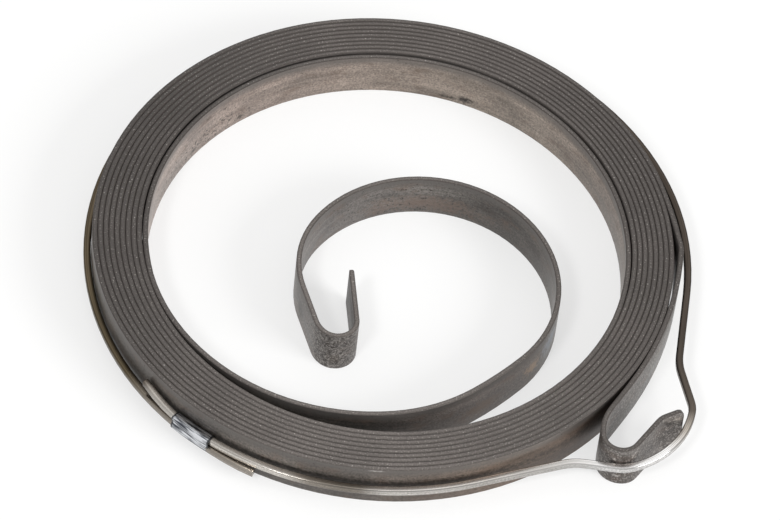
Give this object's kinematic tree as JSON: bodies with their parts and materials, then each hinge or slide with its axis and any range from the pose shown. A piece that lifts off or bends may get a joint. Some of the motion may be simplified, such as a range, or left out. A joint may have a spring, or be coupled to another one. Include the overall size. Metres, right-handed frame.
{
  "type": "spiral return spring",
  "caption": "Flat spiral return spring for a pull starter: packed coil with a hook at each end, held wound by a square wire ring and a crimped sleeve.",
  "frame": {"origin": "on the coil's axis, in the plane of the strip's lower edges", "axes": "+Z along the coil's axis, seen from above the strip runs outwards clockwise; the outer hook lies towards +X and -Y"},
  "size_m": [0.0741, 0.072, 0.006],
  "materials": {
    "spring_strip": "dull tempered spring steel, dark grey-brown",
    "retaining_wire": "bright drawn wire",
    "crimp_sleeve": "bluish plated sheet"
  },
  "bodies": {
    "root": {"spring_strip": "spring_strip", "retaining_wire": "retaining_wire", "crimp_sleeve": "crimp_sleeve"}
  },
  "joints": []
}
